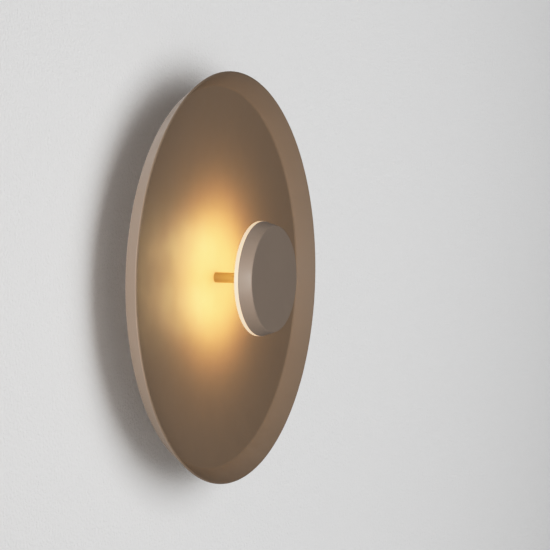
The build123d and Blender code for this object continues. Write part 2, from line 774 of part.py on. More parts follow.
def diffuser():
    bore = STEM_DIAMETER / 2 + STEM_GAP
    plate_front = diffuser_back + DIFFUSER_PLATE
    spigot = SPIGOT_BORE - SPIGOT_GAP
    spigot_end = cap_back + SPIGOT_HEIGHT
    section = [
        (bore, diffuser_back),
        (HEAD_RADIUS, diffuser_back),
        (HEAD_RADIUS, cap_back),
        (spigot, cap_back),
        (spigot, spigot_end),
        (spigot - SPIGOT_WALL, spigot_end),
        (spigot - SPIGOT_WALL, plate_front),
        (bore, plate_front),
    ]
    body = turned(section, [0, DIFFUSER_EDGE_ROUNDING, 0, 0, 0, 0, 0, 0])
    across = (-GRIP_WIDTH / 2, GRIP_WIDTH / 2)
    rib = block((spigot - JOIN, SPIGOT_BORE - GRIP_GAP), across, cap_back, spigot_end - GRIP_SHORTFALL)
    for step in range(GRIP_RIBS):
        body += Rot(0, 0, (step + 0.5) * 360 / GRIP_RIBS) * rib
    return body


NODES = (
    wall_plate,
    wall_earth_screw,
    wall_earth_washer,
    cable_grommet,
    canopy,
    grub_screw_bosses,
    canopy_grub_screws,
    dish,
    dish_studs,
    dish_stud_nuts,
    chassis_plate,
    stem,
    stem_nut,
    stem_lock_washer,
    stem_bush,
    driver_base,
    driver_cover,
    driver_board,
    driver_transformer,
    driver_capacitors,
    driver_screws,
    terminal_block,
    terminal_tubes,
    terminal_screws,
    terminal_block_screws,
    earth_lug,
    earth_star_washer,
    chassis_earth_screw,
    live_lead,
    neutral_lead,
    earth_lead,
    led_leads,
    head_cap,
    heat_spreader,
    spreader_screws,
    thermal_pad,
    led_board,
    led_chips,
    board_connector,
    board_screws,
    diffuser,
)


def main():
    os.makedirs("parts", exist_ok=True)
    upright = Rot(90, 0, 0)
    for node in NODES:
        pieces = node()
        solids = pieces if isinstance(pieces, list) else [pieces]
        standing = [upright * solid for piece in solids for solid in piece.solids()]
        export_step(Compound(children=standing), f"parts/{node.__name__}.step")


main()
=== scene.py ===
import json
import math

import bmesh
import bpy
import numpy as np
from mathutils import Matrix, Vector

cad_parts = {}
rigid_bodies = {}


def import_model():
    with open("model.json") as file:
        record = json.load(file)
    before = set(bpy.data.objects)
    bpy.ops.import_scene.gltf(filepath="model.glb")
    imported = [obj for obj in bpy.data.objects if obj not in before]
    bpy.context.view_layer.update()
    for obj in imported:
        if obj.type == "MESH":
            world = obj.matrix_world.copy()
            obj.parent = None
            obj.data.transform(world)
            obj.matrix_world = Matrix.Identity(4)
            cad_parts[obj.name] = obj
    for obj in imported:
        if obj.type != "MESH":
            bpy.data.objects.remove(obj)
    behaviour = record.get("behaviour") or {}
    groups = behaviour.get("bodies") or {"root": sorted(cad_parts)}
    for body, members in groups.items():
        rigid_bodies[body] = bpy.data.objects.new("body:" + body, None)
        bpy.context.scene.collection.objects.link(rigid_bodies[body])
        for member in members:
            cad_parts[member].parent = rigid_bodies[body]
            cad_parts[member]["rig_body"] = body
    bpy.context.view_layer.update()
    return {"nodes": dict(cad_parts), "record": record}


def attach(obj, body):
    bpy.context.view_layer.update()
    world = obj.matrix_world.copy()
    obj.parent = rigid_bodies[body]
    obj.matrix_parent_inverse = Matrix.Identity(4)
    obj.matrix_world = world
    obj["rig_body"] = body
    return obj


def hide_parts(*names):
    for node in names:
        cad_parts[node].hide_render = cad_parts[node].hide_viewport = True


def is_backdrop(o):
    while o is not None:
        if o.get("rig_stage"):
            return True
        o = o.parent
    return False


# A disc wall light on its wall. Metres: +Z up, +X to the right, and the light reaches out from the
# wall along -Y. "Depth" is a distance from the wall. The light's axis is the Y axis.
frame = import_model()
nodes = frame["nodes"]
MM = 0.001

# Sizes of the shapes that are made again here, smoother than the frame's, in millimetres
DISH_RADIUS = 200.0
RIM_DEPTH = 45.0
BOWL_DEPTH = 16.8
FLARE = math.radians(36.5)
DISH_SHEET = 2.0
DISH_BEND = 3.0
HEAD_RADIUS = 55.5
DIFFUSER_DEPTH = 74.1
CAP_DEPTH = 78.3
CAP_FRONT = 91.1
CAP_FRONT_RADIUS = 51.3
CAP_FLOOR = 4.0
CAP_BORE = 50.1
CAP_SOCKET = 52.4
SOCKET_LENGTH = 4.0
SPIGOT_RADIUS = 52.1
SPIGOT_WALL = 1.8
SPIGOT_LENGTH = 3.5
OPAL_PLATE = 2.5
STEM_RADIUS = 5.0
STEM_PLAY = 0.3
STEM_HOLE = 4.2
STUD_CIRCLE = 52.0
CHIP_CIRCLE = 36.5
dish_front = RIM_DEPTH - BOWL_DEPTH
dish_back = dish_front - DISH_SHEET

# How finely a turned surface is divided, how far its edges are broken, and how far beyond its arcs
# the flat stretches start, in millimetres
TURNS = 256
ARC_STEPS = 8
BROKEN_EDGE = 0.12
EDGE_LOOP = 0.35

# Angles between faces: flat enough to merge, sharp enough to bevel, and sharp enough to shade apart
FLAT_ANGLE = math.radians(0.5)
BEVEL_ANGLE = math.radians(35)
SHADE_ANGLE = math.radians(40)


# Shapes
def rounded(corners, roundings, closed=True):
    """Points of an outline whose corners are arcs. An arc of rounding R at a corner of angle 2h
    starts R / tan(h) before the corner and has its centre R / sin(h) along the bisector. Its points
    are mixed from the two end directions by sines, so they lie evenly on the arc. One more point
    stands close to either end of each arc, so that the stretches between arcs are shaded flat."""
    corners = np.array(corners, float)
    roundings = np.array(roundings, float)[:, None]
    to_last = np.roll(corners, 1, axis=0) - corners
    to_next = np.roll(corners, -1, axis=0) - corners
    run = np.linalg.norm(to_next, axis=1, keepdims=True)
    to_last /= np.linalg.norm(to_last, axis=1, keepdims=True)
    to_next /= run
    half = np.arccos(np.clip((to_last * to_next).sum(axis=1, keepdims=True), -1, 1)) / 2
    reach = roundings / np.tan(half)
    bisector = (to_last + to_next) / (2 * np.cos(half))
    centre = corners + bisector * roundings / np.sin(half)
    first = corners + to_last * reach - centre
    last = corners + to_next * reach - centre
    turn = (math.pi - 2 * half)[:, None]
    t = np.linspace(0, 1, ARC_STEPS)[None, :, None]
    arc = (np.sin((1 - t) * turn) * first[:, None] + np.sin(t * turn) * last[:, None]) / np.sin(turn)
    straight = run - reach - np.roll(reach, -1, axis=0)
    after = np.minimum(EDGE_LOOP, straight / 3)
    before = np.roll(after, 1, axis=0)
    points = centre[:, None] + arc
    points = np.concatenate([
        points[:, :1] + (to_last * before)[:, None],
        points,
        points[:, -1:] + (to_next * after)[:, None],
    ], axis=1)
    points = points.reshape(-1, 2)
    if closed:
        return points
    return np.concatenate([corners[:1], points[ARC_STEPS + 1:-ARC_STEPS - 1], corners[-1:]])


def surface(name, grids, along=True):
    """A mesh from grids of points, each of shape (A, B, 3) in millimetres. Each cell is one face. A
    grid closes on itself round its first side, and along its second unless along is false. Points
    that coincide are merged."""
    places = np.concatenate([grid.reshape(-1, 3) for grid in grids])
    cells = []
    first = 0
    for grid in grids:
        rows, columns = grid.shape[:2]
        number = first + np.arange(rows * columns).reshape(rows, columns)
        first += number.size
        down = np.roll(number, -1, axis=0)
        right = np.roll(number, -1, axis=1)
        both = np.roll(down, -1, axis=1)
        faces = np.stack([number, down, both, right], axis=-1)
        faces = faces[:, : columns if along else columns - 1]
        cells.append(faces.reshape(-1, 4))
    mesh = bpy.data.meshes.new(name)
    mesh.from_pydata((places * MM).tolist(), [], np.concatenate(cells).tolist())
    return finished(name, mesh)


def finished(name, mesh):
    """A piece from a rough mesh: points merged, faces turned outward, and smooth between its edges."""
    shape = bmesh.new()
    shape.from_mesh(mesh)
    bmesh.ops.remove_doubles(shape, verts=shape.verts, dist=1e-7)
    bmesh.ops.recalc_face_normals(shape, faces=shape.faces)
    shape.to_mesh(mesh)
    shape.free()
    mesh.shade_smooth()
    mesh.set_sharp_from_angle(angle=SHADE_ANGLE)
    piece = bpy.data.objects.new(name, mesh)
    bpy.context.scene.collection.objects.link(piece)
    return piece


def turned(name, corners, roundings, closed=True):
    """A piece turned on the light's axis: the outline's (radius r, depth d) is carried round it,
    so x = r cos a, y = -d, z = r sin a."""
    outline = rounded(corners, roundings, closed)
    angle = np.linspace(0, 2 * math.pi, TURNS, endpoint=False)[:, None]
    radius, depth = outline[:, 0], outline[:, 1]
    points = np.stack([radius * np.cos(angle), -depth + 0 * angle, radius * np.sin(angle)], axis=-1)
    return surface(name, [points], along=closed)


def dish():
    """The spun dish: a flat floor, a bend and a straight flare, cut square to the sheet."""
    lip_inner = DISH_RADIUS - DISH_SHEET * math.cos(FLARE)
    lip_depth = RIM_DEPTH - DISH_SHEET * math.sin(FLARE)
    corners = [
        (STEM_HOLE, dish_back),
        (DISH_RADIUS - (lip_depth - dish_back) * math.tan(FLARE), dish_back),
        (DISH_RADIUS, lip_depth),
        (lip_inner, RIM_DEPTH),
        (lip_inner - BOWL_DEPTH * math.tan(FLARE), dish_front),
        (STEM_HOLE, dish_front),
    ]
    lip = 0.5
    outer_bend = DISH_BEND + DISH_SHEET
    roundings = [BROKEN_EDGE, outer_bend, lip, lip, DISH_BEND, BROKEN_EDGE]
    return turned("dish_shell", corners, roundings)


def head_cap():
    """The cap: a disc with a tapered side, hollow behind."""
    seat = CAP_FRONT - CAP_FLOOR
    step = CAP_DEPTH + SOCKET_LENGTH
    corners = [
        (0, seat),
        (CAP_BORE, seat),
        (CAP_BORE, step),
        (CAP_SOCKET, step),
        (CAP_SOCKET, CAP_DEPTH),
        (HEAD_RADIUS, CAP_DEPTH),
        (CAP_FRONT_RADIUS, CAP_FRONT),
        (0, CAP_FRONT),
    ]
    rear_edge = 0.25
    front_edge = 1.2
    roundings = [BROKEN_EDGE] * 5 + [rear_edge, front_edge, BROKEN_EDGE]
    return turned("cap_shell", corners, roundings, closed=False)


def diffuser():
    """The opal moulding: a plate round the stem, the edge that shows and the spigot in the cap.
    Each row of the outline is a corner's radius and depth, and its rounding."""
    bore = STEM_RADIUS + STEM_PLAY
    inside = SPIGOT_RADIUS - SPIGOT_WALL
    plate = DIFFUSER_DEPTH + OPAL_PLATE
    spigot_end = CAP_DEPTH + SPIGOT_LENGTH
    outline = [
        (bore, DIFFUSER_DEPTH, 0.4),
        (HEAD_RADIUS, DIFFUSER_DEPTH, 0.8),
        (HEAD_RADIUS, CAP_DEPTH, BROKEN_EDGE),
        (SPIGOT_RADIUS, CAP_DEPTH, BROKEN_EDGE),
        (SPIGOT_RADIUS, spigot_end, 0.3),
        (inside, spigot_end, 0.3),
        (inside, plate, 0.6),
        (bore, plate, 0.4),
    ]
    corners = [(radius, depth) for radius, depth, rounding in outline]
    roundings = [rounding for radius, depth, rounding in outline]
    return turned("opal_diffuser", corners, roundings)


def softened(node, width):
    """A copy of a frame node's mesh whose sharp edges are broken by a small bevel, in millimetres."""
    source = nodes[node].data
    places = np.zeros((len(source.vertices), 3))
    triangles = np.zeros((len(source.polygons), 3), int)
    source.vertices.foreach_get("co", places.ravel())
    source.loops.foreach_get("vertex_index", triangles.ravel())
    mesh = bpy.data.meshes.new(node + "_softened")
    mesh.from_pydata(places.tolist(), [], triangles.tolist())
    shape = bmesh.new()
    shape.from_mesh(mesh)
    bmesh.ops.remove_doubles(shape, verts=shape.verts, dist=1e-6)
    bmesh.ops.dissolve_limit(shape, angle_limit=FLAT_ANGLE, verts=shape.verts, edges=shape.edges)
    sharp = [e for e in shape.edges if e.is_manifold and e.calc_face_angle() > BEVEL_ANGLE]
    bevel = {"offset": width * MM, "offset_type": "OFFSET", "segments": 2, "profile": 0.6}
    bmesh.ops.bevel(shape, geom=sharp, affect="EDGES", clamp_overlap=True, **bevel)
    shape.to_mesh(mesh)
    shape.free()
    piece = finished(node + "_softened", mesh)
    shade_by_area(piece.data)
    return piece


def shade_by_area(mesh):
    """Each vertex's normal is the mean of its faces' normals by area, so that large faces look flat."""
    mesh.set_sharp_from_angle(angle=math.pi)
    normals = np.zeros((len(mesh.vertices), 3))
    corner = np.zeros(len(mesh.loops), int)
    count = np.zeros(len(mesh.polygons), int)
    area = np.zeros(len(mesh.polygons))
    facing = np.zeros(len(mesh.polygons) * 3)
    mesh.loops.foreach_get("vertex_index", corner)
    mesh.polygons.foreach_get("loop_total", count)
    mesh.polygons.foreach_get("area", area)
    mesh.polygons.foreach_get("normal", facing)
    face = np.repeat(np.arange(len(count)), count)
    np.add.at(normals, corner, facing.reshape(-1, 3)[face] * area[face][:, None])
    normals /= np.maximum(np.linalg.norm(normals, axis=1, keepdims=True), 1e-12)
    mesh.normals_split_custom_set_from_vertices(normals.tolist())


# Small hardware. Each piece is drawn about its own axis as radius and depth, then put in its place.
# A thread's depth is a share of its pitch, and its taper one of its radius. The dome's width and
# fall are shares of the head's radius and height, and a nut's face has a share of its width.
SCREW_TURNS = 72
STEPS_A_PITCH = 6
THREAD_DEPTH = 0.45
TIP_TAPER = 0.2
SMALLEST_RADIUS = 0.2
DOME_RINGS = 15
DOME_WIDTH = 0.86
DOME_FALL = 0.32
CORNER_TURNS = 32
NUT_TURNS = 120
NUT_FACE = 0.94
NUT_CHAMFER = math.radians(30)
CHAMFER_ROWS = np.linspace(0, 0.9, 5)

# The side of a screw's head: shares of its radius, and of its height above the seat
HEAD_SIDE = ((0.94, 0.62), (0.985, 0.5), (1.0, 0.4), (1.0, 0.08), (0.98, 0.0))


def thread(radius, pitch, start, end, angle):
    """Rows of a screw thread along depth, shape (angles, rows, 2): the radius is the crest's less a
    triangle wave of depth over pitch plus turn, and it tapers off at the tip."""
    rows = max(int(abs(end - start) / pitch * STEPS_A_PITCH), 4)
    depth = np.linspace(start, end, rows)[None, :]
    wave = np.abs(((depth / pitch + angle[:, None] / (2 * math.pi)) % 1) * 2 - 1)
    tip = np.clip(1 - np.abs(end - depth) / pitch, 0, 1)
    reach = radius - THREAD_DEPTH * pitch * wave - TIP_TAPER * radius * tip
    return np.stack([np.maximum(reach, SMALLEST_RADIUS), depth + 0 * reach], axis=-1)


def cross_recess(across, up, radius):
    """How deep a crosshead recess is at a point: four arms that taper to the bottom. The depth is
    0.42 of the head's radius where both the way in from an arm's side and from its end allow it."""
    across, up = np.abs(across), np.abs(up)
    arm = np.clip((radius * 0.17 - np.minimum(across, up)) / (radius * 0.06), 0, 1)
    end = np.clip((radius * 0.62 - np.maximum(across, up)) / (radius * 0.25), 0, 1)
    return arm * end * radius * 0.42


def slot_recess(across, up, radius):
    """How deep a plain slot is at a point: half the screw's radius, but for its sloping sides."""
    return np.clip((radius * 0.2 - np.abs(across)) / (radius * 0.05), 0, 1) * radius * 0.5 + 0 * up


def all_round(outline, turns):
    """Rows of (radius, depth) that are the same at every angle."""
    return np.repeat(np.array(outline)[None], turns, axis=0)


def screw_grid(thread_radius, pitch, head, height, seat, tip, recess):
    """A screw along depth from its domed head at the seat to its tip. The dome falls off with the
    square of the radius, and the recess is cut into it. A headless screw has no height."""
    angle = np.linspace(0, 2 * math.pi, SCREW_TURNS, endpoint=False)
    way = math.copysign(1, tip - seat)
    reach = np.linspace(0, 1, DOME_RINGS)[None, :] * head * DOME_WIDTH
    fall = height * DOME_FALL * (reach / head) ** 2
    hole = recess(reach * np.cos(angle)[:, None], reach * np.sin(angle)[:, None], head)
    dome = np.stack([reach + 0 * hole, seat + way * (fall + hole - height)], axis=-1)
    side = np.array([(head * wide, seat - way * height * high) for wide, high in HEAD_SIDE])
    shank = thread(thread_radius, pitch, seat, tip, angle)
    parts = [dome, all_round(side, SCREW_TURNS), shank, all_round([(0.0, tip)], SCREW_TURNS)]
    if not height:
        del parts[1]
    return np.concatenate(parts, axis=1), angle


def stood(outline, angle, place, turn=0.0):
    """Points of an outline of (radius r, depth d) carried round an axis square to the wall at the
    place (x, z): at angle a they are x + r cos a, -d and z + r sin a."""
    radius, depth = outline[..., 0], outline[..., 1]
    angle = (angle + turn)[:, None]
    across = place[0] + radius * np.cos(angle)
    up = place[1] + radius * np.sin(angle)
    return np.stack([across, -depth + 0 * angle, up], axis=-1)


def screws(name, size, seat, tip, places, recess=cross_recess):
    """Equal screws at several places, each turned to its own angle as if driven by hand."""
    outline, angle = screw_grid(*size, seat, tip, recess)
    turns = 0.7 + 1.9 * np.arange(len(places))
    return surface(name, [stood(outline, angle, *at) for at in zip(places, turns)], along=False)


def threaded_rods(name, radius, pitch, foot, tip, places):
    """Threaded studs that stand on their foot and taper off at the tip."""
    angle = np.linspace(0, 2 * math.pi, SCREW_TURNS, endpoint=False)
    rod = thread(radius, pitch, foot, tip, angle)
    foot_middle, tip_middle = (all_round([(0.0, depth)], SCREW_TURNS) for depth in (foot, tip))
    outline = np.concatenate([foot_middle, rod, tip_middle], axis=1)
    return surface(name, [stood(outline, angle, place) for place in places], along=False)


def hexagon_nuts(name, flats, bore, low, high, places):
    """Chamfered nuts: the side is the hexagon's radius, half its width over the cosine of the angle
    from the nearest flat's middle, and it is held inside a cone at either face."""
    angle = np.linspace(0, 2 * math.pi, NUT_TURNS, endpoint=False)
    hexagon = flats / 2 / np.cos((angle + math.pi / 6) % (math.pi / 3) - math.pi / 6)
    up = np.concatenate([CHAMFER_ROWS, high - low - CHAMFER_ROWS[::-1]])[None, :]
    cone = flats / 2 * NUT_FACE + np.minimum(up, high - low - up) / math.tan(NUT_CHAMFER)
    reach = np.minimum(hexagon[:, None], cone)
    side = np.stack([reach, low + up + 0 * reach], axis=-1)
    low_bore, high_bore = (all_round([(bore, depth)], NUT_TURNS) for depth in (low, high))
    outline = np.concatenate([low_bore, side, high_bore], axis=1)
    return surface(name, [stood(outline, angle, place) for place in places])


def on_circle(radius, degrees):
    """Places across and up on a circle round the light's axis, one at each angle."""
    angles = [math.radians(angle) for angle in degrees]
    return [(radius * math.cos(angle), radius * math.sin(angle)) for angle in angles]


def stacked(half_width, half_length, corner, profile, circle, degrees):
    """Grids of pieces on a circle round the light's axis, with a rounded rectangular outline. A
    point of it is the centre of its corner's rounding plus the rounding in the point's direction.
    Each row of the profile is the outline drawn in by an inset at a depth."""
    angle = np.linspace(0, 2 * math.pi, CORNER_TURNS, endpoint=False) + math.pi / CORNER_TURNS
    ways = np.stack([np.cos(angle), np.sin(angle)], axis=-1)
    grids = []
    for place, turn in zip(on_circle(circle, degrees), np.radians(degrees)):
        rows = []
        for inset, depth in profile:
            half = np.maximum(np.array([half_width, half_length]) - inset, 0)
            rounding = np.minimum(max(corner - inset * 0.5, 0), half)
            flat = np.sign(ways) * (half - rounding) + ways * rounding
            across = flat[:, 0] * math.cos(turn) - flat[:, 1] * math.sin(turn)
            up = flat[:, 0] * math.sin(turn) + flat[:, 1] * math.cos(turn)
            rows.append(np.stack([place[0] + across, -depth + 0 * across, place[1] + up], axis=-1))
        grids.append(np.stack(rows, axis=1))
    return grids


# Shader nodes
def add(tree, kind, **inputs):
    """Adds a shader node and joins or sets its inputs."""
    node = tree.nodes.new("ShaderNode" + kind)
    for key, value in inputs.items():
        join(tree, node.inputs[key.replace("_", " ")], value)
    return node


def join(tree, socket, value):
    """Joins another node's socket to this one, or sets its value. Colours are given as red, green
    and blue, and are opaque."""
    if isinstance(value, bpy.types.NodeSocket):
        tree.links.new(value, socket)
    else:
        socket.default_value = (*value, 1.0) if socket.type == "RGBA" else value


def sum_of(tree, operation, *values):
    """The output of a Math node on one to three values."""
    node = tree.nodes.new("ShaderNodeMath")
    node.operation = operation
    for socket, value in zip(node.inputs, values):
        join(tree, socket, value)
    return node.outputs[0]


def blended(tree, share, first, second, blend="MIX"):
    """A colour between two others, by a share from 0 to 1."""
    node = tree.nodes.new("ShaderNodeMixRGB")
    node.blend_type = blend
    for socket, value in zip(node.inputs, (share, first, second)):
        join(tree, socket, value)
    return node.outputs[0]


def remapped(tree, value, low, high, to_low=0.0, to_high=1.0, smooth=False):
    """A value moved from one range to another and held inside it."""
    node = tree.nodes.new("ShaderNodeMapRange")
    node.interpolation_type = "SMOOTHSTEP" if smooth else "LINEAR"
    for socket, number in zip(node.inputs, (value, low, high, to_low, to_high)):
        join(tree, socket, number)
    return node.outputs[0]


def node_group(name, inputs, outputs):
    """An empty group with named sockets. Returns its tree, its inputs and its outputs."""
    tree = bpy.data.node_groups.new(name, "ShaderNodeTree")
    for socket, (kind, value) in inputs.items():
        made = tree.interface.new_socket(name=socket, in_out="INPUT", socket_type="NodeSocket" + kind)
        if value is not None:
            made.default_value = value
    for socket, kind in outputs.items():
        tree.interface.new_socket(name=socket, in_out="OUTPUT", socket_type="NodeSocket" + kind)
    return tree, tree.nodes.new("NodeGroupInput").outputs, tree.nodes.new("NodeGroupOutput").inputs


def noise(tree, place, scale, detail=3.0, roughness=0.5):
    """The value of a noise texture."""
    return add(tree, "TexNoise", Vector=place, Scale=scale, Detail=detail, Roughness=roughness).outputs[0]


def grain_group():
    """Fine and coarse noise added up to a height, and a slow mottle round 0.5."""
    tree, given, out = node_group("surface_grain", {
        "Place": ("Vector", None),
        "Fine Scale": ("Float", 2500.0),
        "Coarse Scale": ("Float", 400.0),
        "Mottle Scale": ("Float", 30.0),
    }, {"Height": "Float", "Mottle": "Float"})
    fine = noise(tree, given["Place"], given["Fine Scale"])
    coarse = noise(tree, given["Place"], given["Coarse Scale"], 2.0)
    tree.links.new(sum_of(tree, "ADD", sum_of(tree, "MULTIPLY", fine, 0.4), coarse), out["Height"])
    tree.links.new(noise(tree, given["Place"], given["Mottle Scale"], 4.0), out["Mottle"])
    return tree


def dust_group():
    """Settled dust: a mask that is stronger where a face looks up, broken up by noise."""
    tree, given, out = node_group("settled_dust", {
        "Place": ("Vector", None),
        "Colour": ("Color", (0.5, 0.5, 0.5, 1)),
        "Dust Colour": ("Color", (0.42, 0.39, 0.36, 1)),
        "Amount": ("Float", 0.15),
    }, {"Colour": "Color"})
    normal = add(tree, "NewGeometry").outputs["Normal"]
    up = add(tree, "SeparateXYZ", Vector=normal).outputs["Z"]
    upward = remapped(tree, up, 0.35, 1.0, smooth=True)
    patches = remapped(tree, noise(tree, given["Place"], 60.0, 5.0, 0.7), 0.35, 0.75)
    mask = sum_of(tree, "MULTIPLY", sum_of(tree, "MULTIPLY", upward, patches), given["Amount"])
    tree.links.new(blended(tree, mask, given["Colour"], given["Dust Colour"]), out["Colour"])
    return tree


def spangle_group():
    """Zinc's crystals: each cell of a cell pattern has its own shade, from 0 to 1, broken by noise."""
    tree, given, out = node_group("zinc_spangle", {
        "Place": ("Vector", None),
        "Scale": ("Float", 240.0),
    }, {"Shade": "Float"})
    cells = add(tree, "TexVoronoi", Vector=given["Place"], Scale=given["Scale"]).outputs["Color"]
    shade = add(tree, "SeparateXYZ", Vector=cells).outputs["X"]
    soft = noise(tree, given["Place"], 700.0, 3.0)
    tree.links.new(sum_of(tree, "ADD", sum_of(tree, "MULTIPLY", shade, 0.7),
                          sum_of(tree, "MULTIPLY", soft, 0.3)), out["Shade"])
    return tree


def rings_group():
    """Turning marks: waves along the distance from the light's axis, of uneven height."""
    tree, given, out = node_group("turned_rings", {
        "Place": ("Vector", None),
        "Rings a Metre": ("Float", 3500.0),
    }, {"Height": "Float", "Radius": "Float"})
    axes = add(tree, "SeparateXYZ", Vector=given["Place"]).outputs
    square = sum_of(tree, "ADD", sum_of(tree, "MULTIPLY", axes["X"], axes["X"]),
                    sum_of(tree, "MULTIPLY", axes["Z"], axes["Z"]))
    radius = sum_of(tree, "SQRT", square)
    tree.links.new(radius, out["Radius"])
    phase = sum_of(tree, "MULTIPLY", sum_of(tree, "MULTIPLY", radius, given["Rings a Metre"]), 2 * math.pi)
    uneven = noise(tree, add(tree, "CombineXYZ", X=radius).outputs[0], 1500.0, 2.0)
    tree.links.new(sum_of(tree, "MULTIPLY", sum_of(tree, "SINE", phase), uneven), out["Height"])
    return tree


GRAIN = grain_group()
DUST = dust_group()
SPANGLE = spangle_group()
RINGS = rings_group()


def placed(tree, group, **inputs):
    """A group put into a material, with its own values."""
    node = tree.nodes.new("ShaderNodeGroup")
    node.node_tree = group
    for key, value in inputs.items():
        join(tree, node.inputs[key.replace("_", " ")], value)
    return node.outputs


class Finish:
    """A material in the making: its tree, its Principled shader and the place on the piece."""

    def __init__(self, name, **sockets):
        self.material = bpy.data.materials.new(name)
        self.material.use_nodes = True
        self.tree = self.material.node_tree
        self.shader = self.tree.nodes["Principled BSDF"]
        self.place = self.tree.nodes.new("ShaderNodeTexCoord").outputs["Object"]
        self.set(**sockets)

    def set(self, **sockets):
        """Sets or joins sockets of the shader."""
        for key, value in sockets.items():
            join(self.tree, self.shader.inputs[key.replace("_", " ")], value)

    def bump(self, height, distance):
        """Gives the surface a relief. A later relief takes the place of an earlier one."""
        node = add(self.tree, "Bump", Height=height, Distance=distance)
        self.set(Normal=node.outputs[0])


def tinted(colour, share):
    """A colour made lighter or darker."""
    return tuple(min(1.0, channel * share) for channel in colour)


MOTTLE_SCALE = 40.0
MOTTLE_RANGE = (0.3, 0.7)


def plain_finish(
    name, colour, roughness, metallic=0.0, spread=0.08, grain=0.00002, fine=2500.0, coarse=400.0
):
    """The base of every finish: a mottled colour, mottled roughness and a grain in the surface."""
    finish = Finish(name, Metallic=metallic)
    tree = finish.tree
    scales = {"Fine_Scale": fine, "Coarse_Scale": coarse, "Mottle_Scale": MOTTLE_SCALE}
    made = placed(tree, GRAIN, Place=finish.place, **scales)
    share = remapped(tree, made["Mottle"], *MOTTLE_RANGE)
    finish.colour = blended(tree, share, tinted(colour, 1 - spread), tinted(colour, 1 + spread))
    rough = remapped(tree, made["Mottle"], *MOTTLE_RANGE, roughness * 0.9, roughness * 1.1)
    finish.set(Base_Color=finish.colour, Roughness=rough)
    finish.bump(made["Height"], grain)
    return finish


# Colours, as red, green and blue in linear light, and how the opal's change with radius, in metres
PAINT = (0.138, 0.101, 0.074)
# Painted shade: a darker, warmer copy of the paint for the dish's inside
SHADED_INSIDE_PAINT = (0.118, 0.078, 0.048)
# Painted shade and painted warm lamp light: a darker, more orange copy of the paint for the stem
SHADED_STEM_PAINT = (0.105, 0.064, 0.018)
# Painted shade: the dish's back is multiplied by this, so that it looks darker and greyer
BACK_SHADE_TINT = (0.88, 0.89, 0.90)
ZINC = (0.42, 0.43, 0.44)
BRIGHT_ZINC = (0.52, 0.53, 0.55)
BOARD_WHITE = (0.80, 0.80, 0.77)
WHITE_OVER_COPPER = (0.70, 0.70, 0.64)
PHOSPHOR = (0.9, 0.62, 0.10)
PHOSPHOR_GLOW = (1.0, 0.86, 0.62)
OPAL = (0.90, 0.86, 0.78)
OPAL_OVER_CHIPS = (1.0, 0.80, 0.50)
OPAL_FAR_FROM_CHIPS = (0.62, 0.36, 0.16)
OPAL_EDGE = (0.24, 0.19, 0.14)
OPAL_EDGE_GLOW = (0.68, 0.47, 0.30)
OPAL_GLOW_REACH = 0.030
OPAL_GLOW_LEAST = 0.45
OPAL_EDGE_START = 0.0535
OPAL_EDGE_FULL = 0.0550
WALL_PAINT = (0.80, 0.80, 0.80)
FLOOR_PAINT = (0.72, 0.71, 0.70)

# The coat of paint
PAINT_ROUGHNESS = 0.6
PAINT_SHAPE = {"spread": 0.02, "grain": 0.00003, "fine": 1800.0}


def powder_coat():
    """A fine-grained coat of paint with a little dust on what faces up."""
    finish = plain_finish("powder_coat", PAINT, PAINT_ROUGHNESS, coarse=700.0, **PAINT_SHAPE)
    dusty = placed(finish.tree, DUST, Place=finish.place, Colour=finish.colour, Amount=0.08)
    finish.set(Base_Color=dusty["Colour"])
    return finish


def stem_coat_with_painted_shade():
    """The same coat, darker and more orange: painted shade and painted warm lamp light, so that the stem
    looks as it does in the lamp's strong light.
    """
    finish = plain_finish("powder_coat_of_stem_with_painted_shade", SHADED_STEM_PAINT, PAINT_ROUGHNESS, **PAINT_SHAPE)
    finish.set(Specular_IOR_Level=0.2)
    return finish


def dish_coat_with_painted_shade():
    """The same coat with painted shade: darker and warmer on the side that faces the room, and darker and
    greyer on the side that faces the wall.
    """
    finish = powder_coat()
    finish.material.name = "powder_coat_of_dish"
    finish.set(Specular_IOR_Level=0.26)
    tree = finish.tree
    normal = add(tree, "NewGeometry").outputs["Normal"]
    to_wall = add(tree, "SeparateXYZ", Vector=normal).outputs["Y"]
    # Painted shade: faces that look at the room are made darker and warmer, faces that look at the wall
    # darker and greyer
    inside = remapped(tree, to_wall, -0.2, -0.95)
    back_shade_share = remapped(tree, to_wall, 0.05, 0.35)
    inside_shade_tint = tuple(warm / plain for warm, plain in zip(SHADED_INSIDE_PAINT, PAINT))
    tint = blended(tree, inside, (1, 1, 1), inside_shade_tint)
    tint = blended(tree, back_shade_share, tint, BACK_SHADE_TINT)
    coat = finish.shader.inputs["Base Color"].links[0].from_socket
    finish.set(Base_Color=blended(tree, 1.0, coat, tint, "MULTIPLY"))
    return finish


def zinc_steel():
    """Bright zinc plate: crystals of slightly different shade and gloss, and fine rubbing."""
    finish = plain_finish("zinc_steel", ZINC, 0.42, metallic=1.0)
    tree = finish.tree
    shade = placed(tree, SPANGLE, Place=finish.place)["Shade"]
    light = remapped(tree, shade, 0.2, 0.8, 0.0, 0.25)
    finish.set(Base_Color=blended(tree, light, finish.colour, BRIGHT_ZINC))
    finish.set(Roughness=remapped(tree, shade, 0.2, 0.8, 0.38, 0.46))
    return finish


def turned_metal(name, colour, roughness):
    """Bare metal off the lathe: fine rings round the light's axis."""
    finish = plain_finish(name, colour, roughness, metallic=1.0, spread=0.04)
    height = placed(finish.tree, RINGS, Place=finish.place)["Height"]
    finish.bump(height, 0.000015)
    finish.set(Roughness=remapped(finish.tree, height, -0.5, 0.5, roughness * 0.8, roughness * 1.25))
    return finish


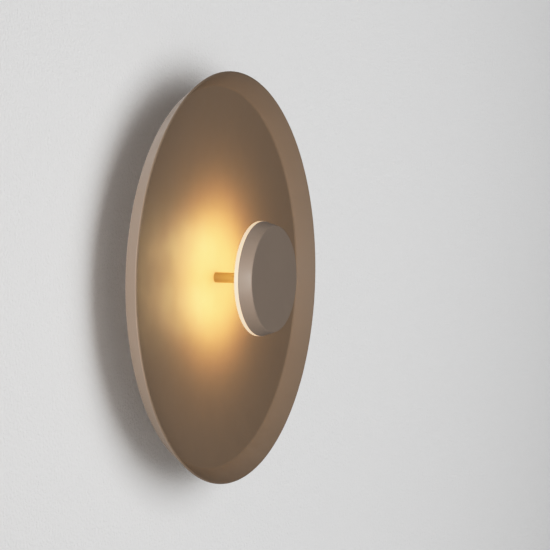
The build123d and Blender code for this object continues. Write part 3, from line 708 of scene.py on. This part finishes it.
def tarnished(name, colour, dull, roughness):
    """Plated or bare hardware that has dulled in patches."""
    finish = plain_finish(name, colour, roughness, metallic=1.0, spread=0.05)
    tree = finish.tree
    patches = remapped(tree, noise(tree, finish.place, 220.0, 5.0, 0.65), 0.45, 0.7, smooth=True)
    finish.set(Base_Color=blended(tree, patches, finish.colour, dull))
    finish.set(Roughness=remapped(tree, patches, 0.0, 1.0, roughness, roughness * 1.5))
    return finish


def moulded(name, colour, roughness, texture=0.00001):
    """Moulded plastic: a spark-eroded grain from the mould and faint flow marks."""
    finish = plain_finish(name, colour, roughness, spread=0.03, grain=texture, fine=4000.0, coarse=1600.0)
    tree = finish.tree
    stretched = add(tree, "Mapping", Vector=finish.place, Scale=(40.0, 40.0, 160.0)).outputs[0]
    flow = remapped(tree, noise(tree, stretched, 1.0, 2.0), 0.4, 0.6, 0.0, 0.25)
    finish.set(Base_Color=blended(tree, flow, finish.colour, tinted(colour, 0.9)))
    return finish


# The copper rings on the board: radius and half width, and how far their edges slope, in metres
COPPER_RINGS = ((0.0328, 0.0011), (0.0402, 0.0011), (0.0290, 0.0002), (0.0415, 0.0002))
COPPER_EDGE = 0.00012
HATCH_WAVES = 4200.0
HATCH_RADIUS = 0.0270


def solder_mask():
    """The chips' board: white mask over copper, whose rings and hatched middle show as ridges."""
    finish = plain_finish("board_white", BOARD_WHITE, 0.32, spread=0.02, grain=0.000004)
    tree = finish.tree
    radius = placed(tree, RINGS, Place=finish.place)["Radius"]
    ridges = 0.0
    for circle, half in COPPER_RINGS:
        off = sum_of(tree, "ABSOLUTE", sum_of(tree, "SUBTRACT", radius, circle))
        edge = half + COPPER_EDGE
        ridges = sum_of(tree, "MAXIMUM", ridges, remapped(tree, off, half, edge, 1.0, 0.0, True))
    axes = add(tree, "SeparateXYZ", Vector=finish.place).outputs
    across = sum_of(tree, "ADD", axes["X"], axes["Z"])
    hatch = sum_of(tree, "SINE", sum_of(tree, "MULTIPLY", across, HATCH_WAVES))
    inner = remapped(tree, radius, HATCH_RADIUS, HATCH_RADIUS + 0.0002, 1.0, 0.0)
    lines = sum_of(tree, "MULTIPLY", remapped(tree, hatch, 0.5, 0.8), inner)
    copper = sum_of(tree, "MAXIMUM", ridges, sum_of(tree, "MULTIPLY", lines, 0.6))
    finish.set(Base_Color=blended(tree, copper, finish.colour, WHITE_OVER_COPPER))
    finish.bump(copper, 0.00004)
    return finish


def insulation(name, colour, stripe=None):
    """A lead's soft skin. The earth lead's second colour runs along two sides of it."""
    finish = plain_finish(name, colour, 0.4, spread=0.04, grain=0.00001, fine=3000.0)
    tree = finish.tree
    if stripe:
        normal = add(tree, "NewGeometry").outputs["Normal"]
        to_wall = add(tree, "SeparateXYZ", Vector=normal).outputs["Y"]
        side = remapped(tree, sum_of(tree, "ABSOLUTE", to_wall), 0.62, 0.66)
        finish.set(Base_Color=blended(tree, side, finish.colour, stripe))
    return finish


def phosphor_finish():
    """The chips' lit phosphor, a little uneven in colour."""
    finish = plain_finish("led_phosphor", PHOSPHOR, 0.35, spread=0.05)
    glow = blended(finish.tree, 0.5, finish.colour, PHOSPHOR_GLOW)
    finish.set(Emission_Color=glow, Emission_Strength=2.5)
    return finish


def opal_acrylic():
    """Lit from inside: the back glows most, brightest over the ring of chips, and the edge less."""
    finish = plain_finish("opal_acrylic", OPAL, 0.35, spread=0.01, grain=0.000005)
    tree = finish.tree
    radius = placed(tree, RINGS, Place=finish.place)["Radius"]
    off = sum_of(tree, "ABSOLUTE", sum_of(tree, "SUBTRACT", radius, CHIP_CIRCLE * MM))
    ring = remapped(tree, off, 0.0, OPAL_GLOW_REACH, 1.0, OPAL_GLOW_LEAST, True)
    rim = remapped(tree, radius, OPAL_EDGE_START, OPAL_EDGE_FULL, smooth=True)
    glow = blended(tree, ring, OPAL_FAR_FROM_CHIPS, OPAL_OVER_CHIPS)
    finish.set(Base_Color=blended(tree, rim, finish.colour, OPAL_EDGE))
    finish.set(Emission_Color=blended(tree, rim, glow, OPAL_EDGE_GLOW), Emission_Strength=1.2)
    return finish


FINISHES = {
    "powder_coat": powder_coat,
    "zinc_steel": zinc_steel,
    "black_steel": lambda: tarnished("black_steel", (0.045, 0.045, 0.048), (0.07, 0.06, 0.055), 0.4),
    "brass": lambda: tarnished("brass", (0.66, 0.46, 0.18), (0.42, 0.28, 0.12), 0.3),
    "tinned_copper": lambda: tarnished("tinned_copper", (0.62, 0.60, 0.56), (0.46, 0.43, 0.38), 0.34),
    "aluminium": lambda: turned_metal("aluminium", (0.66, 0.66, 0.67), 0.34),
    "opal_acrylic": opal_acrylic,
    "white_plastic": lambda: moulded("white_plastic", (0.72, 0.72, 0.69), 0.45),
    "white_nylon": lambda: moulded("white_nylon", (0.70, 0.69, 0.61), 0.5),
    "black_rubber": lambda: moulded("black_rubber", (0.022, 0.022, 0.022), 0.72, 0.00003),
    "board_green": lambda: moulded("board_green", (0.02, 0.14, 0.05), 0.35),
    "board_white": solder_mask,
    "led_phosphor": phosphor_finish,
    "ferrite": lambda: moulded("ferrite", (0.03, 0.028, 0.026), 0.6, 0.00002),
    "black_sleeve": lambda: moulded("black_sleeve", (0.02, 0.02, 0.03), 0.28, 0.000004),
    "thermal_grey": lambda: moulded("thermal_grey", (0.26, 0.28, 0.31), 0.65, 0.00002),
    "lead_brown": lambda: insulation("lead_brown", (0.09, 0.035, 0.015)),
    "lead_blue": lambda: insulation("lead_blue", (0.015, 0.06, 0.30)),
    "lead_green": lambda: insulation("lead_green", (0.03, 0.20, 0.03), (0.62, 0.50, 0.02)),
    "lead_white": lambda: insulation("lead_white", (0.74, 0.74, 0.72)),
}
finishes = {slot: make() for slot, make in FINISHES.items()}


def dress(piece, finish):
    """Gives a piece its one material."""
    piece.data.materials.clear()
    piece.data.materials.append(finish.material)


# Every node of the frame gets its finish
slot_of = {part["node"]: part["material_slot"] for part in frame["record"]["subparts"]}
for node, slot in slot_of.items():
    dress(nodes[node], finishes[slot])


def stand_in(piece, body, slot, node):
    """A new piece rides a body, takes a finish and stands for a node of the frame."""
    dress(piece, finishes[slot])
    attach(piece, body)
    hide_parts(node)
    return piece


def fit(piece, node):
    """A new piece takes its frame node's body and finish, and stands for it."""
    stand_in(piece, nodes[node]["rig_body"], slot_of[node], node)


dish_shell = stand_in(dish(), "fixture", "powder_coat", "dish")
# The dish takes the coat with painted shade on both its sides
dress(dish_shell, dish_coat_with_painted_shade())
cap_shell = stand_in(head_cap(), "fixture", "powder_coat", "head_cap")
stand_in(diffuser(), "diffuser", "opal_acrylic", "diffuser")
stem = nodes["stem"]
# The stem takes a darker, more orange copy of the coat: painted shade and painted warm lamp light
dress(stem, stem_coat_with_painted_shade())

# Sheet metal and mouldings: the frame's own shapes with their edges broken, in millimetres
SOFTENED = {
    "wall_plate": 0.25,
    "chassis_plate": 0.25,
    "driver_base": 0.25,
    "driver_cover": 0.4,
    "terminal_block": 0.25,
    "terminal_tubes": 0.12,
    "board_connector": 0.2,
    "heat_spreader": 0.25,
    "led_board": 0.12,
    "earth_lug": 0.12,
    "grub_screw_bosses": 0.15,
    "canopy_grub_screws": 0.1,
}
for node, width in SOFTENED.items():
    fit(softened(node, width), node)

# Screws: radius of the thread, its pitch, radius and height of the head
M2_5 = (1.2, 0.45, 2.25, 1.5)
M3 = (1.45, 0.5, 2.8, 1.8)
M4 = (1.95, 0.7, 3.8, 2.4)
GRUB = (1.45, 0.5, 1.3, 0.0)

# Depths, angles and places of the hardware
CHASSIS_BACK = 22.7
CHASSIS_TIP = 24.5
BOARD_BACK = 82.5
STUD_WAYS = (90, 210, 330)
BOARD_WAYS = (30, 150, 270)
TERMINALS = [(across, up) for across in (-20.0, -10.0, 0.0) for up in (29.0, 37.0)]

# Screws of each node: name, size, depths of the head's seat and of the tip, places and recess
SCREWS = {
    "driver_screws": ("driver_pan_screws", M3, 21.2, CHASSIS_TIP, [(-38.5, -37.0), (38.5, -37.0)]),
    "terminal_block_screws": ("block_pan_screws", M3, 14.0, CHASSIS_TIP, [(-15.0, 33.0), (-5.0, 33.0)]),
    "chassis_earth_screw": ("earth_pan_screw", M4, 21.1, CHASSIS_TIP, [(24.0, 8.0)]),
    "wall_earth_screw": ("wall_earth_pan_screw", M4, 4.8, 0.4, on_circle(17.0, [60])),
    "spreader_screws": ("spreader_pan_screws", M3, 84.6, 90.0, on_circle(46.0, STUD_WAYS)),
    "board_screws": ("board_pan_screws", M2_5, BOARD_BACK, 87.0, on_circle(22.0, BOARD_WAYS)),
    "terminal_screws": ("clamp_screws", GRUB, 12.4, 16.2, TERMINALS, slot_recess),
}
for node, sizes in SCREWS.items():
    fit(screws(*sizes), node)

# Nuts of each node: name, width across flats, radius of the bore, depths of the faces, places
studs = on_circle(STUD_CIRCLE, STUD_WAYS)
NUTS = {
    "dish_stud_nuts": ("stud_nuts", 7.0, 2.0, 19.5, CHASSIS_BACK, studs),
    "stem_nut": ("stem_back_nut", 13.0, 4.0, 17.9, 21.9, [(0.0, 0.0)]),
}
for node, sizes in NUTS.items():
    fit(hexagon_nuts(*sizes), node)

# Studs: radius of the thread, its pitch, depths of the foot and of the tip
fit(threaded_rods("threaded_studs", 1.95, 0.7, 26.2, 14.2, studs), "dish_studs")

# The ribs of the diffuser's spigot, which grip the cap: half sizes, corner and (inset, depth) rows
RIB_CIRCLE = 51.99
RIB = (0.35, 0.6, 0.15)
RIB_ROWS = ((0.6, 78.4), (0.0, 78.4), (0.0, 80.9), (0.1, 81.1), (0.6, 81.1))
ribs = stacked(*RIB, RIB_ROWS, RIB_CIRCLE, np.arange(30, 360, 60))
fit(surface("grip_ribs", ribs, along=False), "diffuser")

# Chips: a white frame round a dish of phosphor. Half sizes, corner and (inset, depth) rows
CHIP = (1.4, 1.75, 0.15)
CHIP_WAYS = np.arange(7.5, 360, 15)
CHIP_BACK = BOARD_BACK - 0.7
FRAME_ROWS = (
    (0.0, BOARD_BACK),
    (0.0, CHIP_BACK + 0.1),
    (0.1, CHIP_BACK),
    (0.32, CHIP_BACK),
    (0.42, CHIP_BACK + 0.2),
)
PHOSPHOR_ROWS = ((0.42, CHIP_BACK + 0.2), (0.5, CHIP_BACK + 0.12), (2.0, CHIP_BACK + 0.12))
frames = stacked(*CHIP, FRAME_ROWS, CHIP_CIRCLE, CHIP_WAYS)
phosphor = stacked(*CHIP, PHOSPHOR_ROWS, CHIP_CIRCLE, CHIP_WAYS)
frames = surface("chip_frames", frames, along=False)
phosphor = surface("chip_phosphor", phosphor, along=False)
stand_in(frames, "fixture", "white_plastic", "led_chips")
stand_in(phosphor, "fixture", "led_phosphor", "led_chips")


# Stage: the wall, a floor far below it, and the light of the room, in metres
WALL_GAP = 0.0002
ROOM_SIDE = 6
WALL_FOOT = -3
WALL_TOP = 4
FLOOR = -1.2
FLOOR_BEHIND = 4
FLOOR_BEFORE = -8
ROOM_LIGHT = 0.12


def sheet(name, corners):
    """A flat piece of the stage."""
    mesh = bpy.data.meshes.new(name)
    mesh.from_pydata(corners, [], [(0, 1, 2, 3)])
    plane = bpy.data.objects.new(name, mesh)
    bpy.context.scene.collection.objects.link(plane)
    plane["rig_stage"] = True
    return plane


def wall_paint():
    """Pale plaster. From behind, and to light from behind, the wall isn't there."""
    finish = Finish("wall_paint", Roughness=0.9, Base_Color=WALL_PAINT)
    tree = finish.tree
    finish.bump(noise(tree, finish.place, 300.0, 4.0, 0.65), 0.002)
    behind = add(tree, "NewGeometry").outputs["Backfacing"]
    clear = tree.nodes.new("ShaderNodeBsdfTransparent").outputs[0]
    mixed = tree.nodes.new("ShaderNodeMixShader")
    for socket, value in zip(mixed.inputs, (behind, finish.shader.outputs[0], clear)):
        join(tree, socket, value)
    tree.links.new(mixed.outputs[0], tree.nodes["Material Output"].inputs["Surface"])
    return finish


wall = sheet("wall", [
    (-ROOM_SIDE, WALL_GAP, WALL_FOOT),
    (ROOM_SIDE, WALL_GAP, WALL_FOOT),
    (ROOM_SIDE, WALL_GAP, WALL_TOP),
    (-ROOM_SIDE, WALL_GAP, WALL_TOP),
])
dress(wall, wall_paint())
floor = sheet("floor", [
    (-ROOM_SIDE, FLOOR_BEHIND, FLOOR),
    (-ROOM_SIDE, FLOOR_BEFORE, FLOOR),
    (ROOM_SIDE, FLOOR_BEFORE, FLOOR),
    (ROOM_SIDE, FLOOR_BEHIND, FLOOR),
])
dress(floor, Finish("floor_paint", Roughness=0.85, Base_Color=FLOOR_PAINT))

world = bpy.data.worlds.new("room")
bpy.context.scene.world = world
world.use_nodes = True
background = world.node_tree.nodes["Background"].inputs
background["Color"].default_value = (1, 1, 1, 1)
background["Strength"].default_value = ROOM_LIGHT


def linked(name, pieces):
    """A collection that is in no scene: it only tells a light what it reaches or what blocks it."""
    collection = bpy.data.collections.new(name)
    for piece in pieces:
        collection.objects.link(piece)
    return collection


def soft_box(name, place, aim, size, power, reaches=None, blocked_by=None, colour=(1, 1, 1)):
    """A soft light. It can be given the pieces that it reaches, and those that may block it."""
    light = bpy.data.lights.new(name, "AREA")
    light.shape = "RECTANGLE"
    light.size, light.size_y = size
    light.energy = power
    light.color = colour
    lamp = bpy.data.objects.new(name, light)
    lamp.location = place
    lamp.rotation_euler = (Vector(aim) - Vector(place)).to_track_quat("-Z", "Z").to_euler()
    bpy.context.scene.collection.objects.link(lamp)
    lamp.light_linking.receiver_collection = reaches
    lamp.light_linking.blocker_collection = blocked_by


meshes = [piece for piece in bpy.data.objects if piece.type == "MESH"]
the_light = linked("the_light", [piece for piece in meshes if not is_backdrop(piece)])
all_but_the_wall = linked("all_but_the_wall", [piece for piece in meshes if piece is not wall])
the_wall = linked("the_wall", [wall])
the_dish = linked("the_dish", [dish_shell])
the_cap = linked("the_cap", [cap_shell])
all_but_the_stem = linked("all_but_the_stem", [piece for piece in meshes if piece is not stem])

# The room's lights: place, aim, sides, watts, the pieces reached, those that may block it, colour
RIM_CENTRE = (0, -RIM_DEPTH * MM, 0)
DAYLIGHT = (0.99, 0.995, 1.0)
WARM_WASH = (1.0, 0.93, 0.88)
soft_box("wall_light", (0.2, -2.2, 0.1), (-1.9, 0, 0), (2.6, 2.6), 64.0, the_wall, None, DAYLIGHT)
soft_box("front_light", (0.2, -2.2, 0.1), (-1.1, 0, 0), (2.7, 2.7), 29.0, all_but_the_wall)
soft_box("left_light", (-2.2, -0.13, 0.05), RIM_CENTRE, (0.35, 3.6), 171.0, the_light, the_dish)
soft_box("head_light", (-1.0, -0.1, 2.2), RIM_CENTRE, (1.0, 1.0), 9.0, the_cap, the_cap)
soft_box("rear_light", (0.9, 1.6, 0.5), RIM_CENTRE, (1.2, 1.2), 10.0, the_light, the_dish)
soft_box(
    "wall_wash", (-0.42, -0.6, 0.0), (-0.42, 0, 0), (0.4, 0.4), 0.64, the_wall, the_wall, WARM_WASH
)

# The chips' light, which the diffuser spreads over the dish. Sizes in millimetres
CHIP_LIGHTS = 12
CHIP_LIGHT_CIRCLE = 40
CHIP_LIGHT_WIDTH = 26
CHIP_LIGHT_GAP = 0.5
CHIP_LIGHT_WATTS = 0.75
CHIP_LIGHT_SPREAD = math.radians(165)
CHIP_LIGHT_COLOUR = (1.0, 0.655, 0.262)


def chip_light(angle):
    """A small round light just behind the diffuser, which faces the dish. The photo shows no shadow
    of the stem in the glow, so the stem doesn't block it."""
    light = bpy.data.lights.new("chip_light", "AREA")
    light.shape = "DISK"
    light.size = CHIP_LIGHT_WIDTH * MM
    light.energy = CHIP_LIGHT_WATTS / CHIP_LIGHTS
    light.color = CHIP_LIGHT_COLOUR
    light.spread = CHIP_LIGHT_SPREAD
    lamp = bpy.data.objects.new("chip_light", light)
    along = Vector((math.cos(angle), 0, math.sin(angle))) * CHIP_LIGHT_CIRCLE
    lamp.location = (along - Vector((0, DIFFUSER_DEPTH - CHIP_LIGHT_GAP, 0))) * MM
    lamp.rotation_euler = (math.pi / 2, 0, 0)
    lamp.visible_camera = False
    lamp.light_linking.blocker_collection = all_but_the_stem
    bpy.context.scene.collection.objects.link(lamp)
    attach(lamp, "diffuser")


for step in range(CHIP_LIGHTS):
    chip_light(2 * math.pi * (step + 0.5) / CHIP_LIGHTS)

# Camera: it looks from the left and a little from above, through a long lens
AZIMUTH = math.radians(-65.05)
ELEVATION = math.radians(3.4)
DISTANCE = 3.1
PICTURE = 550
SENSOR = 36.0
LENS = 209.45
RIM_CENTRE_PIXEL = (231.5, 277.8)


def camera():
    """Its back vector has the azimuth and elevation, and the rim's centre falls on its pixel."""
    level = math.cos(ELEVATION)
    back = Vector((math.sin(AZIMUTH) * level, -math.cos(AZIMUTH) * level, math.sin(ELEVATION)))
    right = Vector((math.cos(AZIMUTH), math.sin(AZIMUTH), 0))
    up = back.cross(right)
    pixels = LENS / SENSOR * PICTURE
    across = (RIM_CENTRE_PIXEL[0] - PICTURE / 2) / pixels
    upward = (PICTURE / 2 - RIM_CENTRE_PIXEL[1]) / pixels
    ray = (right * across + up * upward - back).normalized()
    place = Vector(RIM_CENTRE) - ray * DISTANCE
    data = bpy.data.cameras.new("camera")
    data.lens, data.sensor_width = LENS, SENSOR
    made = bpy.data.objects.new("camera", data)
    made.matrix_world = Matrix.Translation(place) @ Matrix((right, up, back)).transposed().to_4x4()
    bpy.context.scene.collection.objects.link(made)
    return made


bpy.context.scene.camera = camera()
bpy.context.scene.view_settings.view_transform = "Standard"

# The picture's values and what each is shown as, and the value that is shown as white
HIGHLIGHT_CURVE = (
    (0.25, 0.25),
    (0.5, 0.495),
    (0.7, 0.645),
    (0.9, 0.77),
    (1.1, 0.86),
    (1.35, 0.925),
    (1.7, 0.97),
    (2.1, 0.985),
)
BRIGHTEST = 2.6


def soft_highlights():
    """The picture's brightest parts are eased off, as film does, and the rest is left as it is. The
    picture is first divided by its brightest value, so that the curve's inputs run from 0 to 1."""
    scene = bpy.context.scene
    scene.use_nodes = True
    tree = scene.node_tree
    tree.nodes.clear()
    picture = tree.nodes.new("CompositorNodeRLayers")
    darker = tree.nodes.new("CompositorNodeExposure")
    curve = tree.nodes.new("CompositorNodeCurveRGB")
    end = tree.nodes.new("CompositorNodeComposite")
    darker.inputs["Exposure"].default_value = -math.log2(BRIGHTEST)
    points = curve.mapping.curves[3].points
    for place, value in HIGHLIGHT_CURVE:
        points.new(place / BRIGHTEST, value)
    curve.mapping.update()
    tree.links.new(picture.outputs["Image"], darker.inputs["Image"])
    tree.links.new(darker.outputs["Image"], curve.inputs["Image"])
    tree.links.new(curve.outputs["Image"], end.inputs["Image"])


soft_highlights()
